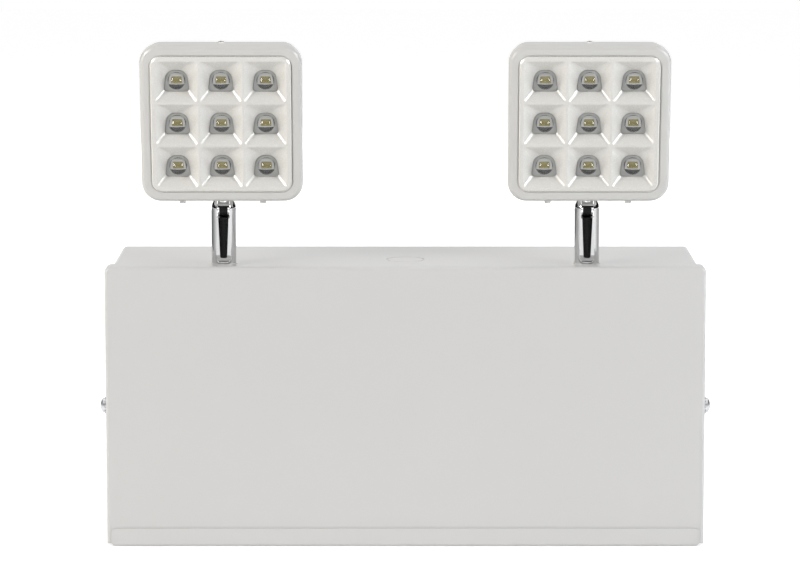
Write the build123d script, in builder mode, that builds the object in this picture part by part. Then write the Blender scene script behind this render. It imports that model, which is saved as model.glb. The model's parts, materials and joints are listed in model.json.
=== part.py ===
# Two-head emergency light: a folded steel wall cabinet that holds a battery, a transformer and a
# circuit board, with two square lamp heads on forked swivel posts on its top.
#
# Millimetres. +X is the viewer's right, +Y goes into the wall and +Z is up. The origin is the
# centre of the back box's wall face. Each lamp head and its post are modelled about their tilt
# pin, in the upright position, and then placed.

import os
from math import atan2, degrees, hypot, radians, tan

from build123d import *

os.makedirs("parts", exist_ok=True)

# Sheet metal of the cabinet
box_width = 337.4
box_height = 160.5
box_depth = 100.5
box_steel = 1.0
box_fold = 2.5
lip_height = 10.6
lip_corner = 2.5
cover_steel = 1.0
cover_fold = 2.0
cover_corner = 3.2
flange_depth = 13.0
cover_gap = 0.5
side_gap = 1.8
panel_gap = 0.5
lip_gap = 0.3
hem_gap = 0.5
relief_clearance = 0.7

# Holes and knockouts of the back box
mount_inset_x = 13.7
mount_inset_z = 15.25
mount_hole_radius = 3.2
knockout_radius = 11.0
knockout_groove = 0.7
knockout_depth = 0.4
top_knockout_setback = 43.2
side_knockout_height = 45.0
back_knockout_height = 45.0

# Cover screws, in clinch nuts in the box's sides
cover_screw_setback = 7.4
cover_screw_drop = 81.0
cover_screw_radius = 2.0
cover_screw_head_radius = 4.2
cover_screw_head_height = 2.6
cover_screw_length = 9.0
star_washer_radius = 4.9
star_washer_thickness = 0.8
star_washer_teeth = 12
star_tooth_depth = 0.8
star_tooth_width = 1.3
cover_nut_radius = 3.9
cover_nut_length = 3.0
slot_clearance = 0.35

# Swivel posts and their bushings
post_inset = 64.35
post_setback = 24.1
pivot_rise = 32.8
post_radius = 7.2
post_bore_radius = 3.9
stem_radius = 4.75
stem_bore_radius = 3.2
stem_length = 9.6
post_floor = 2.0
fork_width = 7.3
fork_depth = 5.6
slot_top_width = 5.9
slot_bottom_width = 4.0
slot_length = 23.1
slot_corner = 1.0
pocket_width = 8.4
pocket_foot = 0.9
pocket_top_depth = 0.5
pocket_bottom_depth = 1.9
pocket_corner = 2.6
bushing_flange_radius = 7.6
bushing_flange = 0.8
bushing_radius = 6.0
spring_washer_radius = 8.2
spring_washer_thickness = 0.8
post_nut_flats = 14.0
post_nut_height = 5.0
sleeve_wall = 0.9
pin_radius = 2.0
pin_length = 13.6

# Lamp head, measured from its front face back and from the tilt pin up
head_tilt = 10.5
head_size = 92.0
head_corner = 11.0
head_floor = 7.2
face_to_pin = 13.0
frame_face = 1.9
frame_skirt = 1.7
frame_depth = 7.0
frame_round = 2.8
frame_inner_round = 1.1
frame_border = 6.25
panel_corner = 6.4
panel_proud = 0.8
panel_bevel = 0.5
panel_clearance = 0.3
rim_flange_gap = 1.8
rim_flange_thickness = 1.2
lug_share = 0.5
lug_width = 3.6
lug_depth = 3.8
lug_drop = 1.6

# Wells, lenses and chips of a head, three rows of three
well_count = 3
well_margin = 2.0
well_rib = 1.2
well_mouth_corner = 2.0
well_draw_in = 4.6
well_depth = 4.8
well_drop = 0.5
throat_height = 12.7
throat_taper = 1.6
throat_top_corner = 4.6
throat_bottom_corner = 2.2
well_wall = 1.1
lens_flange_lap = 0.75
lens_flange_thickness = 1.0
lens_inset = 0.8
lens_height = 5.1
lens_shoulder = 0.3
chip_width = 4.4
chip_height = 3.4
chip_thickness = 0.7
chip_clearance = 0.3
lamp_board_gap = 4.75
lamp_board_thickness = 1.6
board_boss_radius = 2.6
lamp_screw_radius = 1.0
lamp_screw_head_radius = 2.0
lamp_screw_head_height = 1.4
lamp_screw_length = 4.5

# Rear housing of a head and what fastens it
housing_inset = 2.0
housing_corner = 9.5
housing_wall = 2.0
housing_straight = 18.0
housing_depth = 33.0
housing_draft = 22.0
housing_shoulder_round = 6.0
housing_back_round = 2.6
top_screw_setback = 11.5
top_screw_radius = 1.3
top_screw_head_radius = 2.95
top_screw_head_height = 2.0
top_screw_length = 5.5
top_boss_width = 9.0
top_boss_height = 4.2
eye_radius = 5.2
eye_width = 6.7
neck_radius = 3.3
knuckle_stem_radius = 2.45
knuckle_bore_radius = 1.3
knuckle_nut_flats = 8.0
knuckle_nut_height = 2.7
thread_end = 0.6

# Battery, its strap and its terminals
battery_length = 151.0
battery_thickness = 50.0
battery_height = 94.0
battery_lid_height = 6.0
battery_lid_inset = 0.8
battery_side_gap = 33.5
battery_gap = 4.6
terminal_spacing = 130.0
terminal_well = 3.0
terminal_well_size = 12.0
blade_width = 6.3
blade_thickness = 0.8
blade_height = 6.8
strap_thickness = 1.2
strap_height = 20.0
strap_z = -35.0
strap_foot = 14.0
strap_clearance = 0.3
strap_bend = 2.0

# Transformer
core_width = 57.0
core_height = 48.0
core_stack = 19.0
window_width = 9.5
window_height = 28.0
coil_depth = 37.0
coil_clearance = 0.2
foot_width = 78.0
foot_thickness = 1.5
foot_hole_spacing = 68.0
transformer_side_gap = 55.0
transformer_back_gap = 20.5

# Circuit board and what it carries
board_width = 110.0
board_height = 62.0
board_thickness = 1.6
board_side_gap = 27.0
board_top_gap = 9.25
standoff_height = 6.0
standoff_flats = 5.5
standoff_inset = 4.5
relay_size = (19.0, 15.5, 15.5)
sink_width = 24.0
sink_height = 20.0
sink_fins = 5
sink_fin = 1.2
fuse_radius = 2.6
fuse_length = 20.0
fuse_clip = 5.0
block_ways = 6
block_pitch = 6.0
block_height = 10.0
block_depth = 10.0
block_side_gap = 8.0
block_top_gap = 8.0
wire_mouth_radius = 1.6

# Small screws inside, and holes for them
inner_screw_radius = 1.5
inner_screw_head_radius = 2.9
inner_screw_head_height = 1.9
screw_clearance = 0.15
thread_clearance = 0.05
running_clearance = 0.05
seat_gap = 0.1

# Test switch and pilot lamp on the right side of the box
switch_setback = 56.0
switch_rise = 50.25
switch_body_radius = 5.8
switch_body_length = 18.0
switch_neck_radius = 4.4
switch_bezel_radius = 6.2
switch_bezel = 1.6
button_radius = 3.0
button_proud = 3.0
button_length = 9.5
button_travel = 1.5
pilot_rise = 22.0
pilot_radius = 2.9
pilot_body_radius = 3.6
pilot_body_length = 10.0
pilot_flange = 1.0

# Wires
lead_radius = 0.95
lead_bend_share = 0.45
lead_drop = 11.5
lead_out = 9.0
wire_nut_length = 16.0
wire_nut_radius = 5.0

# Sizes and places that follow
mount_span_x = box_width - 2 * mount_inset_x
mount_span_z = box_height - 2 * mount_inset_z
post_spacing = box_width - 2 * post_inset
panel_size = head_size - 2 * frame_border
well_pitch = (panel_size - 2 * well_margin) / well_count
well_mouth = well_pitch - well_rib
well_throat = well_mouth - 2 * well_draw_in
throat_top = well_throat - 2 * throat_taper
lens_radius = throat_top / 2 - lens_inset
rim_flange_size = head_size - 2 * frame_skirt - 2 * rim_flange_gap
housing_size = head_size - 2 * housing_inset
lamp_board_size = housing_size - 2 * housing_wall - 2 * lamp_board_gap
lug_spacing = lug_share * head_size
box_top = box_height / 2
box_bottom = -box_height / 2
box_side = box_width / 2
inner_floor = box_bottom + box_steel
inner_back = -box_steel
cover_front = -(box_depth + panel_gap + cover_steel)
cover_top = box_top + cover_gap + cover_steel
cover_side = box_side + side_gap + cover_steel
cover_bottom = inner_floor + hem_gap
inner_side = box_side - box_steel
battery_x = battery_side_gap + battery_length / 2 - inner_side
transformer_x = inner_side - transformer_side_gap - foot_width / 2
transformer_y = inner_back - transformer_back_gap - coil_depth / 2
board_x = inner_side - board_side_gap - board_width / 2
board_z = box_top - box_steel - board_top_gap - board_height / 2
block_x = board_x - board_width / 2 + block_side_gap + block_ways * block_pitch / 2
block_z = board_z + board_height / 2 - block_top_gap - block_height / 2
switch_z = box_bottom + switch_rise
pilot_z = switch_z + pilot_rise
lip_inside = cover_front - lip_gap
lip_outside = lip_inside - box_steel
hinge_z = box_bottom + lip_height
cover_screw_y = cover_front + cover_screw_setback
switch_y = cover_front + switch_setback
cover_screw_z = cover_top - cover_screw_drop
post_y = cover_front + post_setback
pivot_z = box_top + pivot_rise
post_base = -(pivot_rise - bushing_flange)
head_centre = head_floor + head_size / 2
face_plane = Plane.XZ.offset(face_to_pin)
housing_bottom = head_centre - housing_size / 2
housing_top = head_centre + housing_size / 2
flange_back = frame_face + rim_flange_thickness
well_back = well_depth - panel_proud
lamp_board_front = well_back + lens_flange_thickness
lamp_board_back = lamp_board_front + lamp_board_thickness
board_front = inner_back - standoff_height - board_thickness
strap_side = battery_length / 2 + strap_clearance + strap_thickness
strap_screw_x = strap_side + strap_foot / 2


def save(piece, name):
    """Label a finished piece and write it."""
    piece.label = name
    export_step(piece, f"parts/{name}.step")


def facing(origin, direction):
    """Place whose Z axis points along a direction."""
    return Plane(origin=origin, z_dir=direction).location


def crown_arc(rim_radius, rim_height, top_height):
    """Arc from a rim up to the axis, centred on the axis."""
    rise = top_height - rim_height
    radius = (rim_radius**2 + rise**2) / (2 * rise)
    start = degrees(atan2(radius - rise, rim_radius))
    return CenterArc((0, top_height - radius), radius, start, 90 - start)


def pan_screw(head_radius, head_height, shank_radius, shank_length):
    """Cross-recessed pan head screw: its head sits on z = 0 and its shank points down."""
    rim = 0.4 * head_height
    recess_arm = 0.55 * head_radius
    recess_width = 0.2 * head_radius
    with BuildPart() as screw:
        with BuildSketch(Plane.XZ):
            with BuildLine():
                crown = crown_arc(head_radius, rim, head_height)
                Polyline(
                    crown @ 1,
                    (0, -shank_length),
                    (shank_radius, -shank_length),
                    (shank_radius, 0),
                    (head_radius, 0),
                    crown @ 0,
                )
            make_face()
        revolve(axis=Axis.Z)
        with BuildSketch(Plane.XY.offset(head_height)):
            Rectangle(2 * recess_arm, recess_width)
            Rectangle(recess_width, 2 * recess_arm)
        extrude(amount=-0.5 * head_height, mode=Mode.SUBTRACT)
    return screw.part


def throat_shape(lap):
    """Outline of a well's throat, wider below than above, and grown by a lap."""
    with BuildSketch() as outline:
        with BuildLine():
            Polyline(
                (-throat_top / 2, throat_height / 2),
                (throat_top / 2, throat_height / 2),
                (well_throat / 2, -throat_height / 2),
                (-well_throat / 2, -throat_height / 2),
                close=True,
            )
        make_face()
        upper = outline.vertices().group_by(Axis.Y)[-1]
        fillet(upper, throat_top_corner)
        lower = outline.vertices().sort_by_distance((well_throat / 2, -throat_height / 2))[0]
        fillet(lower, throat_bottom_corner)
        lower = outline.vertices().sort_by_distance((-well_throat / 2, -throat_height / 2))[0]
        fillet(lower, throat_bottom_corner)
        if lap:
            offset(amount=lap)
    return outline.sketch


def hex_nut(across_flats, height, hole_radius):
    """Hexagon nut standing on z = 0."""
    with BuildPart() as nut:
        with BuildSketch():
            RegularPolygon(across_flats / 2, 6, major_radius=False)
            Circle(hole_radius, mode=Mode.SUBTRACT)
        extrude(amount=height)
    return nut.part


def lead(points):
    """Insulated wire along straight runs that are joined by arcs as large as the runs allow."""
    corners = [Vector(*point) for point in points]
    radii = []
    for before, corner, after in zip(corners, corners[1:], corners[2:]):
        run_in = corner - before
        run_out = after - corner
        turn = radians(run_in.get_angle(run_out))
        radii.append(lead_bend_share * min(run_in.length, run_out.length) / tan(turn / 2))
    with BuildPart() as wire:
        with BuildLine():
            FilletPolyline(*points, radius=radii)
        with BuildSketch(Plane(origin=points[0], z_dir=corners[1] - corners[0])):
            Circle(lead_radius)
        sweep()
    return wire.part


def waypoint(start, end, along, back, up):
    """Point between two others, given by its share of the way in X, Y and Z."""
    shares = (along, back, up)
    return tuple(a + share * (b - a) for a, b, share in zip(start, end, shares))


def way_end(way):
    """Mouth of one way of the terminal block, counted from the left."""
    across = block_x + (way - (block_ways - 1) / 2) * block_pitch
    return (across, board_front - block_depth / 2 - seat_gap, block_z)


# Lip that the bottom of the box folds up in front of the cover
lip_reach = -lip_outside - box_depth
with BuildPart() as front_lip:
    with BuildSketch(Plane.YZ) as lip_section:
        with BuildLine():
            Polyline(
                (-box_depth, box_bottom),
                (lip_outside, box_bottom),
                (lip_outside, hinge_z),
                (lip_inside, hinge_z),
                (lip_inside, inner_floor),
                (-box_depth, inner_floor),
                close=True,
            )
        make_face()
        fillet(lip_section.vertices().sort_by_distance((lip_outside, box_bottom))[0], cover_fold)
        fillet(
            lip_section.vertices().sort_by_distance((lip_inside, inner_floor))[0],
            cover_fold - box_steel,
        )
    extrude(amount=box_side, both=True)
    with BuildSketch(Plane.XZ.offset(box_depth)):
        with Locations((0, box_bottom + lip_height / 2)):
            RectangleRounded(box_width, lip_height, lip_corner)
    extrude(amount=lip_reach, mode=Mode.INTERSECT)

# Back box: a folded tray, open at the front
with BuildPart() as back_box:
    with BuildSketch(Plane.XZ):
        Rectangle(box_width, box_height)
    extrude(amount=box_depth)
    fillet(back_box.edges().filter_by(lambda edge: edge.center().Y > 1 - box_depth), box_fold)
    offset(amount=-box_steel, openings=back_box.faces().sort_by(Axis.Y)[0])
    add(front_lip.part)
    # relief in the sides' lower front corners, where the cover's foot swings back as it opens
    foot_swing = hypot(hinge_z - cover_bottom, cover_steel)
    relief_back = cover_front + foot_swing + relief_clearance
    relief_top = hinge_z + cover_steel + relief_clearance
    for side in (-1, 1):
        with BuildSketch(Plane.YZ.offset(side * box_side)):
            with Locations((relief_back, relief_top)):
                Rectangle(
                    relief_back + box_depth,
                    relief_top - inner_floor - panel_gap / 2,
                    align=(Align.MAX, Align.MAX),
                )
        extrude(amount=-side * box_fold, mode=Mode.SUBTRACT)
    # mounting holes
    with BuildSketch(Plane.XZ):
        with GridLocations(mount_span_x, mount_span_z, 2, 2):
            Circle(mount_hole_radius)
    extrude(amount=box_steel, mode=Mode.SUBTRACT)
    # grooves of the closed knockouts: top, both sides, back
    with BuildSketch(Plane.XY.offset(box_top)):
        with Locations((0, cover_front + top_knockout_setback)):
            Circle(knockout_radius)
            Circle(knockout_radius - knockout_groove, mode=Mode.SUBTRACT)
    extrude(amount=-knockout_depth, mode=Mode.SUBTRACT)
    for side in (-1, 1):
        with BuildSketch(Plane.YZ.offset(side * box_side)):
            with Locations((-box_depth / 2, side_knockout_height)):
                Circle(knockout_radius)
                Circle(knockout_radius - knockout_groove, mode=Mode.SUBTRACT)
        extrude(amount=-side * knockout_depth, mode=Mode.SUBTRACT)
    with BuildSketch(Plane.XZ):
        with Locations((0, back_knockout_height)):
            Circle(knockout_radius)
            Circle(knockout_radius - knockout_groove, mode=Mode.SUBTRACT)
    extrude(amount=knockout_depth, mode=Mode.SUBTRACT)
    # holes for the post bushings
    with BuildSketch(Plane.XY.offset(box_top)):
        with Locations((-post_spacing / 2, post_y), (post_spacing / 2, post_y)):
            Circle(bushing_radius + running_clearance)
    extrude(amount=-box_steel, mode=Mode.SUBTRACT)
    # holes for the clinch nuts of the cover screws, through both sides
    with BuildSketch(Plane.YZ):
        with Locations((cover_screw_y, cover_screw_z)):
            Circle(cover_nut_radius - cover_steel + running_clearance)
    extrude(amount=box_side, both=True, mode=Mode.SUBTRACT)
    # test switch and pilot lamp, on the right side
    with BuildSketch(Plane.YZ.offset(box_side)):
        with Locations((switch_y, switch_z)):
            Circle(switch_neck_radius + running_clearance)
        with Locations((switch_y, pilot_z)):
            Circle(pilot_radius + running_clearance)
    extrude(amount=-box_steel, mode=Mode.SUBTRACT)
    # screw holes of the transformer in the floor and of the battery strap in the back
    with BuildSketch(Plane.XY.offset(inner_floor)):
        with Locations((transformer_x, transformer_y)):
            with GridLocations(foot_hole_spacing, 0, 2, 1):
                Circle(inner_screw_radius + screw_clearance)
    extrude(amount=-box_steel, mode=Mode.SUBTRACT)
    with BuildSketch(Plane.XZ):
        with Locations((battery_x, strap_z)):
            with GridLocations(2 * strap_screw_x, 0, 2, 1):
                Circle(inner_screw_radius + screw_clearance)
    extrude(amount=box_steel, mode=Mode.SUBTRACT)
save(back_box.part, "back_box")

# Front cover: a panel with a top flange and two side flanges, tucked behind the lip
cover_height = cover_top - cover_bottom
with BuildPart() as front_cover:
    with BuildSketch(Plane.XZ.offset(-cover_front)):
        with Locations((0, cover_bottom + cover_height / 2)):
            Rectangle(2 * cover_side, cover_height)
    extrude(amount=-flange_depth)
    top_corners = front_cover.edges().filter_by(Axis.Y).group_by(Axis.Z)[-1]
    fillet(top_corners, cover_corner)
    panel_edges = front_cover.faces().sort_by(Axis.Y)[0].edges()
    fillet(panel_edges.sort_by(Axis.Z)[1:], cover_fold)
    rear_opening = front_cover.faces().sort_by(Axis.Y)[-1]
    foot_opening = front_cover.faces().sort_by(Axis.Z)[0]
    offset(amount=-cover_steel, openings=[rear_opening, foot_opening])
    # the screws leave the flanges through slots about the hinge line, open at the back
    screw_radius_about_hinge = hypot(cover_screw_setback, cover_screw_z - hinge_z)
    screw_angle = degrees(atan2(cover_screw_z - hinge_z, cover_screw_setback))
    open_end = (flange_depth + cover_screw_head_radius) / screw_radius_about_hinge
    open_angle = 90 - degrees(open_end)
    slot_path = CenterArc(
        (cover_front, hinge_z),
        screw_radius_about_hinge,
        screw_angle,
        open_angle - screw_angle,
    )
    with BuildSketch(Plane.YZ):
        SlotArc(slot_path, 2 * (cover_screw_radius + slot_clearance))
    extrude(amount=cover_side, both=True, mode=Mode.SUBTRACT)
save(front_cover.part, "front_cover")

# Cover screws, star washers and clinch nuts, one of each on both sides
cover_screw = pan_screw(
    cover_screw_head_radius, cover_screw_head_height, cover_screw_radius, cover_screw_length
)
with BuildPart() as star_washer:
    with BuildSketch():
        Circle(star_washer_radius)
        Circle(cover_screw_radius + screw_clearance, mode=Mode.SUBTRACT)
        with PolarLocations(star_washer_radius - star_tooth_depth / 2, star_washer_teeth):
            Rectangle(star_tooth_depth, star_tooth_width, mode=Mode.SUBTRACT)
    extrude(amount=star_washer_thickness)

with BuildPart() as clinch_nut:
    with BuildSketch():
        Circle(cover_nut_radius)
        Circle(cover_screw_radius + thread_clearance, mode=Mode.SUBTRACT)
    extrude(amount=cover_nut_length)
    with BuildSketch(Plane.XY.offset(cover_nut_length)):
        Circle(cover_nut_radius - cover_steel)
        Circle(cover_screw_radius + thread_clearance, mode=Mode.SUBTRACT)
    extrude(amount=box_steel)

washer_seat = cover_side + seat_gap
head_seat = washer_seat + star_washer_thickness
nut_seat = inner_side - cover_nut_length
with BuildPart() as cover_screws:
    for side in (-1, 1):
        seat = (side * head_seat, cover_screw_y, cover_screw_z)
        add(cover_screw.moved(facing(seat, (side, 0, 0))))
save(cover_screws.part, "cover_screws")

with BuildPart() as cover_washers:
    for side in (-1, 1):
        seat = (side * washer_seat, cover_screw_y, cover_screw_z)
        add(star_washer.part.moved(facing(seat, (side, 0, 0))))
save(cover_washers.part, "cover_washers")

with BuildPart() as cover_nuts:
    for side in (-1, 1):
        seat = (side * nut_seat, cover_screw_y, cover_screw_z)
        add(clinch_nut.part.moved(facing(seat, (side, 0, 0))))
save(cover_nuts.part, "cover_nuts")

# Flanged bushings that the posts turn in
with BuildPart() as bushing:
    with BuildSketch():
        Circle(bushing_flange_radius)
        Circle(stem_radius + running_clearance, mode=Mode.SUBTRACT)
    extrude(amount=bushing_flange)
    with BuildSketch():
        Circle(bushing_radius)
        Circle(stem_radius + running_clearance, mode=Mode.SUBTRACT)
    extrude(amount=-box_steel)

with BuildPart() as post_bushings:
    with Locations((-post_spacing / 2, post_y, box_top), (post_spacing / 2, post_y, box_top)):
        add(bushing.part)
save(post_bushings.part, "post_bushings")

# Swivel post, about its tilt pin: a domed, hollow post with a fork at the top, a tapered slot
# down the front and a shallow round-cornered pocket about the slot
slot_bottom = -fork_depth - slot_length
pocket_bottom = post_base + pocket_foot
with BuildPart() as slot_pocket:
    with BuildSketch(Plane.YZ):
        with BuildLine():
            Polyline(
                (-post_radius - 1, -fork_depth),
                (-post_radius + pocket_top_depth, -fork_depth),
                (-post_radius + pocket_bottom_depth, pocket_bottom),
                (-post_radius - 1, pocket_bottom),
                close=True,
            )
        make_face()
    extrude(amount=pocket_width / 2, both=True)
    pocket_foot_edges = slot_pocket.edges().filter_by(Axis.Y).group_by(Axis.Z)[0]
    fillet(pocket_foot_edges, pocket_corner)

with BuildPart() as swivel_post:
    with BuildSketch(Plane.XZ):
        with BuildLine():
            dome = CenterArc((0, 0), post_radius, 0, 90)
            Polyline(
                dome @ 1,
                (0, post_base - stem_length),
                (stem_radius, post_base - stem_length),
                (stem_radius, post_base),
                (post_radius, post_base),
                dome @ 0,
            )
        make_face()
    revolve(axis=Axis.Z)
    # bore for the leads
    with BuildSketch(Plane.XY.offset(post_base - stem_length)):
        Circle(stem_bore_radius)
    extrude(amount=stem_length + post_floor, mode=Mode.SUBTRACT)
    with BuildSketch(Plane.XY.offset(post_base + post_floor)):
        Circle(post_bore_radius)
    extrude(amount=-fork_depth - post_base - post_floor, mode=Mode.SUBTRACT)
    # fork, front slot and pocket
    with BuildSketch(Plane.XY.offset(-fork_depth)):
        Rectangle(fork_width, 2 * post_radius + 2)
    extrude(amount=fork_depth + post_radius, mode=Mode.SUBTRACT)
    with BuildSketch(Plane.XZ) as front_slot:
        with BuildLine():
            Polyline(
                (-slot_top_width / 2, -fork_depth),
                (-slot_bottom_width / 2, slot_bottom),
                (slot_bottom_width / 2, slot_bottom),
                (slot_top_width / 2, -fork_depth),
                close=True,
            )
        make_face()
        fillet(front_slot.vertices().group_by(Axis.Y)[0], slot_corner)
    extrude(amount=post_radius + 1, mode=Mode.SUBTRACT)
    add(slot_pocket.part, mode=Mode.SUBTRACT)
    # hole for the tilt pin
    with BuildSketch(Plane.YZ):
        Circle(pin_radius + thread_clearance)
    extrude(amount=post_radius, both=True, mode=Mode.SUBTRACT)

with BuildPart() as wire_sleeve:
    with BuildSketch(Plane.XY.offset(post_base + post_floor)):
        Circle(post_bore_radius - seat_gap)
        Circle(post_bore_radius - seat_gap - sleeve_wall, mode=Mode.SUBTRACT)
    extrude(amount=-fork_depth - seat_gap - post_base - post_floor)

with BuildPart() as tilt_pin:
    with BuildSketch(Plane.YZ):
        Circle(pin_radius)
    extrude(amount=pin_length / 2, both=True)

under_sheet = -pivot_rise - box_steel - seat_gap
with BuildPart() as spring_washer:
    with BuildSketch(Plane.XY.offset(under_sheet)):
        Circle(spring_washer_radius)
        Circle(stem_radius + thread_clearance, mode=Mode.SUBTRACT)
    extrude(amount=-spring_washer_thickness)

post_nut_bottom = under_sheet - spring_washer_thickness - post_nut_height
post_nut = hex_nut(post_nut_flats, post_nut_height, stem_radius + thread_clearance)

# Knuckle in the fork: a flat eye, a neck and a threaded stem with a bore for the leads
knuckle_nut_seat = housing_bottom + housing_wall
knuckle_top = knuckle_nut_seat + knuckle_nut_height + thread_end
with BuildPart() as knuckle:
    with BuildSketch(Plane.YZ):
        Circle(eye_radius)
    extrude(amount=eye_width / 2, both=True)
    with BuildSketch():
        Circle(neck_radius)
    extrude(amount=housing_bottom)
    with BuildSketch(Plane.XY.offset(housing_bottom)):
        Circle(knuckle_stem_radius)
    extrude(amount=knuckle_top - housing_bottom)
    with BuildSketch(Plane.XY.offset(knuckle_top)):
        Circle(knuckle_bore_radius)
    extrude(amount=eye_radius + knuckle_bore_radius - knuckle_top, mode=Mode.SUBTRACT)
    with BuildSketch(Plane.XZ):
        with Locations((0, eye_radius + 2 * knuckle_bore_radius)):
            Circle(knuckle_bore_radius)
    extrude(amount=-neck_radius, mode=Mode.SUBTRACT)
    with BuildSketch(Plane.YZ):
        Circle(pin_radius + running_clearance)
    extrude(amount=eye_width / 2, both=True, mode=Mode.SUBTRACT)

knuckle_nut = hex_nut(
    knuckle_nut_flats, knuckle_nut_height, knuckle_stem_radius + thread_clearance
)

# Front frame of a head: a round-edged ring with a skirt and two lugs below
frame_opening = panel_size + 2 * panel_clearance
with BuildPart() as front_frame:
    with BuildSketch(face_plane):
        with Locations((0, head_centre)):
            RectangleRounded(head_size, head_size, head_corner)
    extrude(amount=-frame_depth)
    fillet(front_frame.faces().sort_by(Axis.Y)[0].edges(), frame_round)
    with BuildSketch(face_plane.offset(-frame_face)):
        with Locations((0, head_centre)):
            skirt_inside = head_size - 2 * frame_skirt
            RectangleRounded(skirt_inside, skirt_inside, head_corner - frame_skirt)
    extrude(amount=frame_face - frame_depth, mode=Mode.SUBTRACT)
    with BuildSketch(face_plane):
        with Locations((0, head_centre)):
            RectangleRounded(frame_opening, frame_opening, panel_corner + panel_clearance)
    extrude(amount=-frame_face, mode=Mode.SUBTRACT)
    inner_rim = front_frame.faces().sort_by(Axis.Y)[0].inner_wires()[0]
    fillet(inner_rim.edges(), frame_inner_round)
    with BuildSketch(Plane.XY.offset(head_floor + frame_skirt / 2)):
        with Locations((0, -face_to_pin + frame_depth - lug_depth / 2 - seat_gap)):
            with GridLocations(lug_spacing, 0, 2, 1):
                RectangleRounded(lug_width, lug_depth, lug_width / 4)
    extrude(amount=-frame_skirt / 2 - lug_drop)

# Reflector: a rim with a bevelled edge, a flange behind the frame and nine tapered wells
well_slope = (well_mouth - well_throat) / 2 / well_depth
well_root = well_throat + 2 * well_wall + 2 * well_slope * (well_back - flange_back)
with BuildPart() as well_hollow:
    with BuildSketch(face_plane.offset(panel_proud)):
        with Locations((0, head_centre)):
            RectangleRounded(well_mouth, well_mouth, well_mouth_corner)
    with BuildSketch(face_plane.offset(-well_back)):
        with Locations((0, head_centre - well_drop)):
            add(throat_shape(0))
    loft(ruled=True)

with BuildPart() as reflector:
    with BuildSketch(face_plane.offset(panel_proud)):
        with Locations((0, head_centre)):
            RectangleRounded(panel_size, panel_size, panel_corner)
    extrude(amount=-panel_proud - frame_face)
    chamfer(reflector.faces().sort_by(Axis.Y)[0].edges(), panel_bevel)
    with BuildSketch(face_plane.offset(-frame_face)):
        with Locations((0, head_centre)):
            RectangleRounded(rim_flange_size, rim_flange_size, housing_corner - housing_wall)
    extrude(amount=-rim_flange_thickness)
    with BuildSketch(face_plane.offset(-flange_back)):
        with Locations((0, head_centre)):
            with GridLocations(well_pitch, well_pitch, well_count, well_count):
                Rectangle(well_root, well_root)
    extrude(amount=flange_back - well_back, taper=degrees(atan2(well_slope, 1)))
    # bosses for the lamp board's screws
    with BuildSketch(face_plane.offset(-flange_back)):
        with Locations((0, head_centre)):
            with GridLocations(well_pitch, well_pitch, 2, 2):
                Circle(board_boss_radius)
    extrude(amount=flange_back - lamp_board_front)
    # boss for the screw on top of the head
    with BuildSketch(face_plane.offset(-flange_back)):
        with Locations((0, housing_top - housing_wall - top_boss_height / 2)):
            Rectangle(top_boss_width, top_boss_height)
    extrude(amount=flange_back - top_screw_setback - top_screw_head_radius)
    with BuildSketch(face_plane.offset(-lamp_board_front)):
        with Locations((0, head_centre)):
            with GridLocations(well_pitch, well_pitch, 2, 2):
                Circle(lamp_screw_radius + thread_clearance)
    extrude(amount=lamp_screw_length - lamp_board_thickness, mode=Mode.SUBTRACT)
    with BuildSketch(Plane.XY.offset(housing_top - housing_wall)):
        with Locations((0, top_screw_setback - face_to_pin)):
            Circle(top_screw_radius + thread_clearance)
    extrude(amount=-top_boss_height, mode=Mode.SUBTRACT)
    for column in range(well_count):
        for row in range(well_count):
            across = (column - (well_count - 1) / 2) * well_pitch
            up = (row - (well_count - 1) / 2) * well_pitch
            add(well_hollow.part.moved(Location((across, 0, up))), mode=Mode.SUBTRACT)

# Lenses: a clear dome on a round-cornered flange, hollow behind for the chip
with BuildPart() as lens:
    with BuildSketch():
        add(throat_shape(lens_flange_lap))
    extrude(amount=-lens_flange_thickness)
    with BuildSketch(Plane.XZ):
        with BuildLine():
            crown = crown_arc(lens_radius, lens_shoulder, lens_height)
            Polyline(crown @ 1, (0, 0), (lens_radius, 0), crown @ 0)
        make_face()
    revolve(axis=Axis.Z)
    with BuildSketch(Plane.XY.offset(-lens_flange_thickness)):
        Rectangle(chip_width + 2 * chip_clearance, chip_height + 2 * chip_clearance)
    extrude(amount=chip_thickness + seat_gap, mode=Mode.SUBTRACT)

throat_plane = face_plane.offset(-well_back)
with BuildPart() as lenses:
    with Locations(throat_plane):
        with Locations((0, head_centre - well_drop, 0)):
            with GridLocations(well_pitch, well_pitch, well_count, well_count):
                add(lens.part)

with BuildPart() as led_chips:
    with BuildSketch(face_plane.offset(-lamp_board_front)):
        with Locations((0, head_centre - well_drop)):
            with GridLocations(well_pitch, well_pitch, well_count, well_count):
                Rectangle(chip_width, chip_height)
    extrude(amount=chip_thickness)

with BuildPart() as lamp_board:
    with BuildSketch(face_plane.offset(-lamp_board_front)):
        with Locations((0, head_centre)):
            RectangleRounded(lamp_board_size, lamp_board_size, lamp_board_thickness)
            with GridLocations(well_pitch, well_pitch, 2, 2):
                Circle(lamp_screw_radius + screw_clearance, mode=Mode.SUBTRACT)
    extrude(amount=-lamp_board_thickness)

lamp_screw = pan_screw(
    lamp_screw_head_radius, lamp_screw_head_height, lamp_screw_radius, lamp_screw_length
)
with BuildPart() as lamp_board_screws:
    for across in (-1, 1):
        for up in (-1, 1):
            seat = (
                across * well_pitch / 2,
                lamp_board_back - face_to_pin,
                head_centre + up * well_pitch / 2,
            )
            add(lamp_screw.moved(facing(seat, (0, 1, 0))))

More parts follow.
